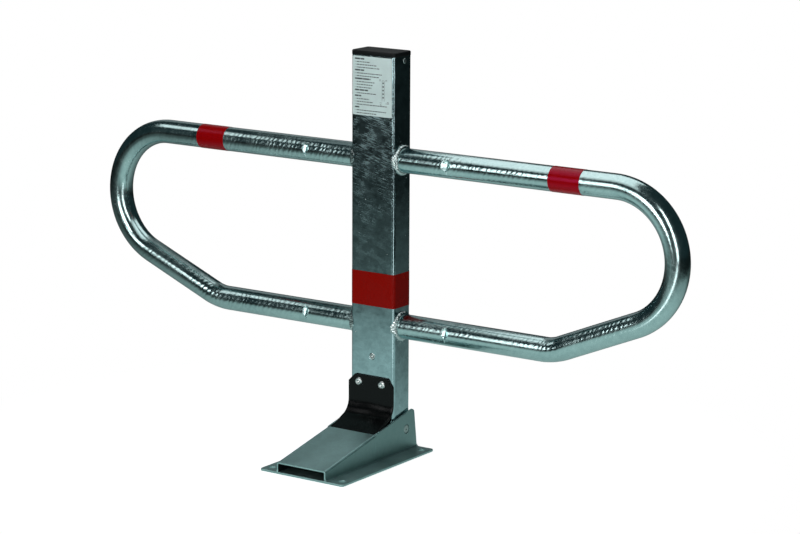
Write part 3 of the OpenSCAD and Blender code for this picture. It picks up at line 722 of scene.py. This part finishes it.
def label_print(low, high):
    """The label's printing as points and faces: rows of plain bars, and a small drawing."""
    rng = random.Random(12)
    parts = []

    def bar(x0, z0, x1, z1):
        """A thin printed box between two corners on the label's face."""
        corners = [(x0, z0), (x1, z0), (x1, z1), (x0, z1)]
        parts.append(loft([[(x, low.y + rise, z) for x, z in corners] for rise in (0.02, -0.03)]))

    def words(x, z, stop, height, short, long):
        """A row of bars, like words seen from too far away to read."""
        while x < stop - 1:
            end = min(stop, x + rng.uniform(short, long))
            bar(x, z, end, z + height)
            x = end + 0.9

    left = low.x + 4.5
    pitch = 4.7
    row = high.z - 5.8
    # each group: how far its heading runs, then how far each of its lines runs
    groups = [(19, [30, 44, 50]), (19, [55, 49]), (32, [40, 38, 34]), (27, [44]),
              (13, [29, 37, 66]), (9, [64, 44])]
    for heading, lines in groups:
        words(left, row, left + heading, 2.5, 6, 16)
        row -= pitch
        for length in lines:
            bar(left, row + 0.4, left + 1.3, row + 1.1)
            words(left + 3.5, row, left + length, 1.45, 2.0, 6.5)
            row -= pitch
        row -= 0.4

    # the drawing: a post with five marks in it, two strokes at its foot and four small corners
    mid, foot, top = high.x - 17.5, low.z + 27, low.z + 62
    for x in (mid - 2.2, mid + 2.2):
        bar(x - 0.25, foot, x + 0.25, top)
    bar(mid - 2.2, top - 0.5, mid + 2.2, top)
    for i in range(5):
        bar(mid - 1.3, foot + 5 + i * 6.1, mid + 1.3, foot + 7.4 + i * 6.1)
    bar(mid - 7, foot - 3.2, mid - 2.4, foot - 2.6)
    bar(mid + 5, foot - 4, mid + 12, foot - 3.4)
    for x, z in ((-7.5, 36), (5, 36), (-6, -6), (8.5, -1)):
        x0, z0 = mid + x, foot + z
        bar(x0, z0, x0 + 2.6, z0 + 0.5)
        bar(x0, z0 - 2.6, x0 + 0.5, z0)
        bar(x0 + 2.1, z0 - 2.6, x0 + 2.6, z0)
    return joined(parts)


def label():
    """The instruction label: a film with round corners, and its generic printing."""
    low, high = node_box("info_label")
    middle, half_w, half_h = (low + high) / 2, (high.x - low.x) / 2, (high.z - low.z) / 2
    outline = rounded_outline(half_w, half_h, 1.5, 5)
    inner = rounded_outline(half_w - 0.1, half_h - 0.1, 1.4, 5)
    rings = []
    for shape, y in ((outline, high.y), (outline, low.y + 0.1), (inner, low.y)):
        rings.append([(middle.x + p[0], y, middle.z + p[1]) for p in shape])
    stand_in("info_label", "film", loft(rings), "post", LABEL, 30)
    printing = to_mesh("info_label_print", *label_print(low, high))
    place("info_label_print", printing, "post", INK, 30)


def end_cap():
    """The plastic cap: its rim with a rounded top edge and a faintly crowned top, and its skirt."""
    low, high = node_box("end_cap")
    half_w, half_d = (high.x - low.x) / 2, (high.y - low.y) / 2
    rim_low, top = POST_TOP + 0.02, high.z - 0.25
    edge = 2.2
    # how far each ring lies inside the rim, and its height
    shapes = [(2.4, rim_low), (0.3, rim_low), (0.0, rim_low + 0.4), (0.1, top - edge)]
    for i in range(1, 7):
        a = math.radians(15 * i)
        shapes.append((0.1 + edge * (1 - math.cos(a)), top - edge + edge * math.sin(a)))
    shapes += [(4, top + 0.08), (8, top + 0.16), (14, top + 0.22), (20, top + 0.25)]
    rings = []
    for inset, z in shapes:
        outline = rounded_outline(half_w - inset, half_d - inset, max(POST_CORNER - inset, 1.2))
        rings.append([(x, POST_MID + y, z) for x, y in outline])
    stand_in("end_cap", "rim", loft(rings), "post", BLACK_PLASTIC, 50)

    rings = []
    for inset, corner, z in ((3.1, 3, rim_low), (3.1, 3, low.z + 0.5), (5.5, 2, low.z), (5.5, 2, rim_low)):
        outline = rounded_outline(POST_SIDE - inset, POST_HALF_D - inset, corner)
        rings.append([(x, POST_MID + y, z) for x, y in outline])
    skirt = to_mesh("end_cap_skirt", *wrap(rings))
    place("end_cap_skirt", skirt, "post", BLACK_PLASTIC, 50)


def socket_screw(centre, profile, socket_r, socket_depth, point):
    """Points and faces of a screw head with a hexagon socket, facing -Y.

    profile is (radius, height in front of the seat) from the seat to the socket's rim."""
    count = 48
    slice_half = math.radians(30)

    def ring(r, height, hexagonal=0.0):
        """A ring at a height in front of the seat, from round (0) to a full hexagon (1)."""
        points = []
        for k in range(count):
            a = 2 * math.pi * k / count
            flat = math.cos(slice_half) / math.cos(a % (2 * slice_half) - slice_half)
            out = r * (flat * hexagonal + 1 - hexagonal)
            points.append((centre[0] + out * math.cos(a), centre[1] - height, centre[2] + out * math.sin(a)))
        return points

    rim = profile[-1][1]
    rings = [ring(r, height) for r, height in profile]
    rings += [ring(socket_r + 0.35, rim - 0.05, 0.9), ring(socket_r, rim - 0.35, 1),
              ring(socket_r, rim - socket_depth, 1), ring(socket_r * 0.25, rim - socket_depth - point)]
    return loft(rings)


def flap_screws():
    """The two button heads that hold the flap."""
    low, high = node_box("flap_screws")
    head_r, flank = 7.0, 0.7
    head = FLAP_FACE - low.y
    spacing = (high.x - low.x) / 2 - head_r
    dome = [(3.9, -16), (3.9, -0.6), (head_r, -0.5), (head_r + 0.1, 0.1), (head_r, flank)]
    for i in range(1, 9):
        a = math.radians(10.5 * i)
        dome.append((3.7 + (head_r - 3.7) * math.cos(a), flank + (head - flank) * math.sin(a)))
    places = [(side * spacing, FLAP_FACE, (low.z + high.z) / 2) for side in (-1, 1)]
    heads = joined([socket_screw(at, dome, 2.9, 2.6, 0.8) for at in places])
    stand_in("flap_screws", "domed", heads, "post", BRIGHT_ZINC, 40)


def lock_screw():
    """The flush socket screw in the post's front, which holds the lock case."""
    low, high = node_box("lock_screw")
    head = [(2.9, -13), (2.9, -2.5), (5.3, -0.35), (5.55, -0.1), (5.4, 0), (3.2, 0)]
    shape = socket_screw((0, low.y, (low.z + high.z) / 2), head, 2.31, 1.9, 0.6)
    stand_in("lock_screw", "socket", shape, "post", STAINLESS, 40)


def zinc_nodules():
    """Tiny beads of zinc left on the post by the dip, most of them on its front and back."""
    spots = [(-14, POST_FRONT, 441, 0.9), (22, POST_FRONT, 480, 0.8), (-34, POST_FRONT, 208, 0.9),
             (30, POST_FRONT, 351, 0.6), (-20, POST_BACK, 520, 0.9), (12, POST_BACK, 330, 0.7),
             (31, POST_BACK, 610, 0.8), (POST_SIDE, 104, 380, 0.7)]
    parts = []
    for i, (x, y, z, size) in enumerate(spots):
        flat = (0.5, 1, 1.2) if x == POST_SIDE else (1, 0.5, 1.2)
        parts.append(bead((x, y, z), size, flat, i * 7.3))
    place("zinc_nodules", to_mesh("zinc_nodules", *joined(parts)), "post", WELD_ZINC, 60)


# --- hinge flap ---


def ramp_z(y):
    """Height of the ramp's outer surface."""
    return RAMP_FRONT_Z + (y - SHOE_LOW.y) * math.tan(RAMP)


def flap_line():
    """Points (y, z) evenly spaced along the flap's front face, from its tucked end to its top edge,
    and the face's length."""
    gap, tucked = 0.3, 58
    rise_y = RAMP_END + 0.6
    edge = Vector((rise_y, ramp_z(rise_y) - SHEET - gap))
    tuck = edge - tucked * Vector((math.cos(RAMP), math.sin(RAMP)))
    bend_y = FLAP_FACE - FLAP_BEND
    corners = [tuck, edge]
    for i in range(25):
        a = FLAP_RISE + (math.pi / 2 - FLAP_RISE) * i / 24
        corners.append(Vector((bend_y + FLAP_BEND * math.sin(a), FLAP_BEND_Z - FLAP_BEND * math.cos(a))))
    corners.append(Vector((FLAP_FACE, FLAP_HIGH.z)))
    lengths = list(accumulate(((b - a).length for a, b in zip(corners, corners[1:])), initial=0))
    count = 110
    line = []
    for i in range(count + 1):
        s = lengths[-1] * i / count
        k = max(j for j in range(len(lengths) - 1) if lengths[j] <= s + 1e-6)
        t = (s - lengths[k]) / (lengths[k + 1] - lengths[k])
        line.append(corners[k].lerp(corners[k + 1], t))
    return line, lengths[-1]


def hinge_flap():
    """The rubber flap: a thick sheet with rounded edges that bends from under the ramp up the post."""
    line, total = flap_line()
    half_w = (FLAP_HIGH.x - FLAP_LOW.x) / 2
    corner, across = 13, 30
    edge, nick = 0.7, 0.2  # the edges' rounding, and its middle point's distance from both faces
    rings, rest = [], []
    for i, p in enumerate(line):
        s = total * i / (len(line) - 1)
        before, after = line[max(i - 1, 0)], line[min(i + 1, len(line) - 1)]
        run = (after - before).normalized()
        inward = Vector((run.y, -run.x))
        w = half_w - max(0, corner - (total - s)) * 0.995
        free = eased((s - 62) / 25) * eased((total - 38 - s) / 25)
        # places across the strip and down from its front face
        face = [((w - edge) * (-1 + 2 * k / across), 0) for k in range(across + 1)]
        right = [(w - nick, nick), (w, edge), (w, FLAP_T - edge), (w - nick, FLAP_T - nick)]
        back = [((w - edge) * (1 - 2 * k / across), FLAP_T) for k in range(across + 1)]
        left = [(-x, depth) for x, depth in reversed(right)]
        ring = []
        for x, depth in face + right + back + left:
            sag = 0.7 * free * math.cos(math.pi / 2 * x / half_w) + 0.25 * free * math.sin(x * 0.11 + 1.3)
            q = p + inward * (depth - sag)
            ring.append((x, q.x, q.y))
            rest.append((x * MM, s * MM, depth * MM))
        rings.append(ring)
    piece = stand_in("hinge_flap", "rubber", loft(rings), None, RUBBER, 50)
    store(piece, "rest_place", rest)
    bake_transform(piece)


# --- base ---


def shoe_welds():
    """Uneven fillets along the foot of both walls, with lumps at their ends and up the ramp's right edge."""
    low, high = node_box("shoe_welds")
    leg, count = 3.2, 180
    wall, foot_z = SHOE_HIGH.x, PLATE_TOP
    parts = []
    for side in (-1, 1):
        rings = []
        for i in range(count + 1):
            y = low.y + (high.y - low.y) * i / count
            size = leg * (1 + 0.16 * noise.noise(Vector((y * 0.06, side * 9, 0)))
                          + 0.08 * noise.noise(Vector((y * 0.4, side * 5, 3))))
            ring = [(side * (wall - 0.5), y, foot_z - 0.4), (side * (wall + size), y, foot_z - 0.4)]
            for k in range(7):
                a = math.pi / 2 * k / 6
                out = wall + size * (1 - math.sin(a)) + 0.15
                ring.append((side * out, y, foot_z + size * (1 - math.cos(a)) + 0.1))
            ring.append((side * (wall - 0.5), y, foot_z + size + 0.1))
            rings.append(ring)
        parts.append(loft(rings))
        parts.append(bead((side * (wall - 0.3), low.y + 1.2, foot_z + 0.6), 3.0, (0.8, 0.75, 0.8), 3 + side))
        parts.append(bead((side * (wall + 0.6), high.y - 1.5, foot_z + 0.8), 2.6, (0.9, 0.7, 0.8), 9 + side))
    # lumps on the ramp's right edge near its top: place along Y, place along X, size
    lumps = ((3, 49.4, 1.3), (7, 48.8, 1.9), (11, 49.0, 1.5), (15, 49.4, 2.1), (21, 49.6, 1.4))
    for i, (y, out, size) in enumerate(lumps):
        parts.append(bead((out, y, ramp_z(y)), size, (1, 1.2, 0.6), 20 + i))
    stand_in("shoe_welds", "fillets", joined(parts), "base", BASE_ZINC, 50)


def bolt_spring():
    """The compression spring, as a smooth coil whose turns lie closer together at its ends."""
    low, high = node_box("bolt_spring")
    middle = (low + high) / 2
    wire, coil = 0.8, 6.0
    turns, steps, sides = 6, 36, 12
    last = turns * steps
    rings = []
    for i in range(last + 1):
        a = 2 * math.pi * i / steps
        t = i / last
        z = low.z + wire + (high.z - low.z - 2 * wire) * (t - 0.045 * math.sin(2 * math.pi * t))
        ring = []
        for k in range(sides):
            b = 2 * math.pi * k / sides
            r = coil + wire * math.cos(b)
            ring.append((middle.x + r * math.cos(a), middle.y + r * math.sin(a), z + wire * math.sin(b)))
        rings.append(ring)
    piece = stand_in("bolt_spring", "coil", loft(rings), None, SPRING_STEEL, 60)
    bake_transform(piece)


# --- everything on the object ---

for side in (-1, 1):
    hoop(side)
    hoop_welds(side)
for side in (-1, 1):
    arm_tape(side)
post_tape()
label()
end_cap()
hinge_flap()
flap_screws()
lock_screw()
zinc_nodules()
shoe_welds()
bolt_spring()

for node, material, slot, width in (
        ("base_plate", PLATE_ZINC, "galvanised_base", 0.6),
        ("ramp_shoe", BASE_ZINC, "galvanised_base", 0.45),
        ("stop_bar", BASE_ZINC, "galvanised_base", 0.5),
        ("catch_plate", BASE_ZINC, "galvanised_base", 0.4),
        ("post_tube", POST_ZINC, "galvanised_steel", 0.4),
        ("pivot_axle", DULL_ZINC, "zinc_plated_steel", 0.25),
        ("lock_escutcheon", STAINLESS, "stainless_steel", 0.5),
        ("cap_rivets", DULL_ZINC, "zinc_plated_steel", 0.15),
        ("escutcheon_rivets", BRIGHT_ZINC, "zinc_plated_steel", 0.15)):
    softened(node, material, width)

for node, material in (
        ("pivot_bushes", BLACK_PLASTIC), ("pivot_sleeve", HIDDEN_ZINC), ("rivet_nuts", BRIGHT_ZINC),
        ("bolt_guide", HIDDEN_ZINC), ("lock_case", HIDDEN_ZINC), ("lock_core", BRASS),
        ("lock_bolt", BRIGHT_ZINC)):
    shown = frame["nodes"][node].data
    shown.materials.clear()
    shown.materials.append(material)


# --- floor, lights and camera ---


LAMP_TURN = math.radians(45)


def floor_glow_tone(level):
    """The slightly green grey of the floor's painted glow, in which the metal sees the floor."""
    return 0.78 * level, level, 0.97 * level, 1


def floor_to_camera(f, far):
    """White paper, whose lit tone near the base runs into plain white."""
    pale = f.add("BsdfDiffuse", "BSDF", {"Color": (0.93, 0.93, 0.93, 1)})
    glowing = f.add("Emission", "Emission", {"Color": (1, 1, 1, 1), "Strength": 0.74})
    lit = f.add("AddShader", "Shader", {0: pale, 1: glowing})
    white = f.add("Emission", "Emission", {"Color": (1, 1, 1, 1), "Strength": 1.0})
    return f.add("MixShader", "Shader", {0: f.fit(far, 0.15, 0.75), 1: lit, 2: white})


def floor_to_metal(f, at, far):
    """Painted light for the metal: a glowing floor, darker with distance, with paler pools and a bright
    strip at one lamp's foot.
    """
    widest = 3.0
    shown = f.add("ValToRGB", "Color", {"Fac": f.fit(far, 0.0, widest)})
    stops = shown.node.color_ramp.elements
    # distances from the base in metres, and how bright the floor's painted glow is there
    glow = ((0.0, 0.10), (0.3, 0.22), (0.8, 0.22), (1.3, 0.105), (1.9, 0.075), (2.5, 0.028), (2.9, 0.015))
    while len(stops) < len(glow):
        stops.new(0.5)
    for stop, (distance, level) in zip(stops, glow):
        stop.position = distance / widest
        stop.color = floor_glow_tone(level)
    # each painted pool of light: its middle, where it starts to fade and where it ends, and its brightness
    for middle, start, end, level in (((0.05, -0.35, 0), 0.35, 1.05, 0.40), ((1.1, 0.2, 0), 0.35, 0.8, 0.26),
                                      ((-0.45, -1.40, 0), 0.15, 0.45, 0.20)):
        away = f.add("VectorMath", "Value", {0: at, 1: middle}, operation="DISTANCE")
        pool = f.mix(f.fit(away, start, end), floor_glow_tone(level), (0, 0, 0, 1))
        shown = f.mix(1.0, shown, pool, "ADD")
    # past 1.3 m to the right the painted glow fades to near black
    shown = f.mix(f.fit(f.axis(at, "X"), 1.3, 1.6), shown, (0.008, 0.012, 0.012, 1))
    sheet = f.add("Emission", "Emission", {"Color": shown, "Strength": 1.0})

    # painted light: a bright strip glows on the floor in the front right lamp's direction, for the metal to
    # mirror
    way = (math.sin(LAMP_TURN), -math.cos(LAMP_TURN), 0)
    ray = f.add("VectorMath", "Vector", {0: at}, operation="NORMALIZE")
    facing = f.add("VectorMath", "Value", {0: ray, 1: way}, operation="DOT_PRODUCT")
    wedge = f.fit(facing, math.cos(math.radians(6)), math.cos(math.radians(4.5)))
    length = f.times(f.fit(far, 0.45, 0.7), f.fit(far, 2.3, 1.9))
    painted_lamp_strip = f.add("Emission", "Emission", {"Color": (1, 1, 1, 1), "Strength": 3.0})
    return f.add("MixShader", "Shader", {0: f.times(wedge, length), 1: sheet, 2: painted_lamp_strip})


def floor():
    """A plain floor that the camera sees as white paper and the metal sees as a darker floor with painted
    glow.
    """
    reach = 14
    mesh = bpy.data.meshes.new("floor")
    corners = [(-reach, -reach, 0), (reach, -reach, 0), (reach, reach, 0), (-reach, reach, 0)]
    mesh.from_pydata(corners, [], [(0, 1, 2, 3)])
    plane = bpy.data.objects.new("floor", mesh)
    bpy.context.scene.collection.objects.link(plane)
    f = Finish("floor_paper")
    f.tree.nodes.remove(f.shader)
    at = f.add("TexCoord", "Object")
    far = f.add("VectorMath", "Value", {0: at}, operation="LENGTH")
    camera_ray = f.add("LightPath", "Is Camera Ray")
    both = f.add("MixShader", "Shader", {0: camera_ray, 1: floor_to_metal(f, at, far),
                                         2: floor_to_camera(f, far)})
    f.tree.links.new(both, f.tree.nodes["Material Output"].inputs["Surface"])
    mesh.materials.append(f.material)


def room():
    """A dark room for the metal to mirror, plain white behind the object."""
    world = bpy.data.worlds.new("studio")
    bpy.context.scene.world = world
    world.use_nodes = True
    nodes, links = world.node_tree.nodes, world.node_tree.links
    dark = nodes["Background"]
    dark.inputs["Color"].default_value = (0.014, 0.028, 0.031, 1)
    white = nodes.new("ShaderNodeBackground")
    white.inputs["Color"].default_value = (1, 1, 1, 1)
    mix = nodes.new("ShaderNodeMixShader")
    path = nodes.new("ShaderNodeLightPath")
    links.new(path.outputs["Is Camera Ray"], mix.inputs[0])
    links.new(dark.outputs[0], mix.inputs[1])
    links.new(white.outputs[0], mix.inputs[2])
    links.new(mix.outputs[0], nodes["World Output"].inputs["Surface"])


def softbox(name, at, target, size, power, spin=0):
    """A rectangular soft light at a place, facing a target and turned about its own axis by degrees."""
    light = bpy.data.lights.new(name, "AREA")
    light.shape = "RECTANGLE"
    light.size, light.size_y = size
    light.energy = power
    lamp = bpy.data.objects.new(name, light)
    bpy.context.scene.collection.objects.link(lamp)
    lamp.location = at
    lamp.rotation_mode = "QUATERNION"
    facing = (Vector(target) - Vector(at)).to_track_quat("-Z", "Y")
    lamp.rotation_quaternion = facing @ Quaternion((0, 0, 1), math.radians(spin))
    lamp.visible_camera = False


def camera():
    """The camera at the photograph's angle; its lens and place were fitted to the photo's outlines."""
    data = bpy.data.cameras.new("camera")
    data.lens, data.sensor_width = 124.39, 36
    data.clip_start, data.clip_end = 0.05, 60
    lens = bpy.data.objects.new("camera", data)
    bpy.context.scene.collection.objects.link(lens)
    turn, tilt, roll = math.radians(34.59), math.radians(12.04), math.radians(0.30)
    back = Vector((math.sin(turn) * math.cos(tilt), -math.cos(turn) * math.cos(tilt), math.sin(tilt)))
    level = Vector((math.cos(turn), math.sin(turn), 0))
    up = back.cross(level)
    right = level * math.cos(roll) + up * math.sin(roll)
    up = up * math.cos(roll) - level * math.sin(roll)
    basis = Matrix((right, up, back)).transposed()
    lens.matrix_world = Matrix.Translation((2.6504, -3.6901, 1.3070)) @ basis.to_4x4()
    bpy.context.scene.camera = lens


floor()
room()
# panels that face straight down
for name, x, y, z, size, power, spin in (
        ("ceiling_panel", -0.02, 0.225, 1.35, (0.94, 1.25), 4.67, 0),
        ("ceiling_front", -0.02, -0.53, 1.35, (0.94, 0.24), 0.5, 0),
        ("ceiling_edge", -0.65, 0.6, 1.35, (0.3, 1.0), 0.2, 0),
        ("upper_left", -2.09, -0.92, 2.3, (0.54, 1.25), 3.2, -13),
        ("upper_left_edge", -1.75, -0.95, 2.3, (0.14, 1.25), 0.15, -13)):
    softbox(name, (x, y, z), (x, y, 0), size, power, spin)
# lamps that face the object
AIM = (0, 0.1, 0.4)
LAMP_REACH = 3.2
for name, at, size, power in (
        ("rear_left", (-2.2, 2.2, 1.9), (1.6, 1.5), 2.0),
        ("far_left", (-1.5, -3.15, 1.32), (0.72, 1.35), 9.5),
        ("front_strip", (-0.28, -3.3, 0.95), (0.9, 1.5), 27),
        ("front_right", (LAMP_REACH * math.sin(LAMP_TURN), -LAMP_REACH * math.cos(LAMP_TURN), 1.45),
         (0.55, 2.8), 26)):
    softbox(name, at, AIM, size, power)
camera()
bpy.context.scene.view_settings.view_transform = "Standard"
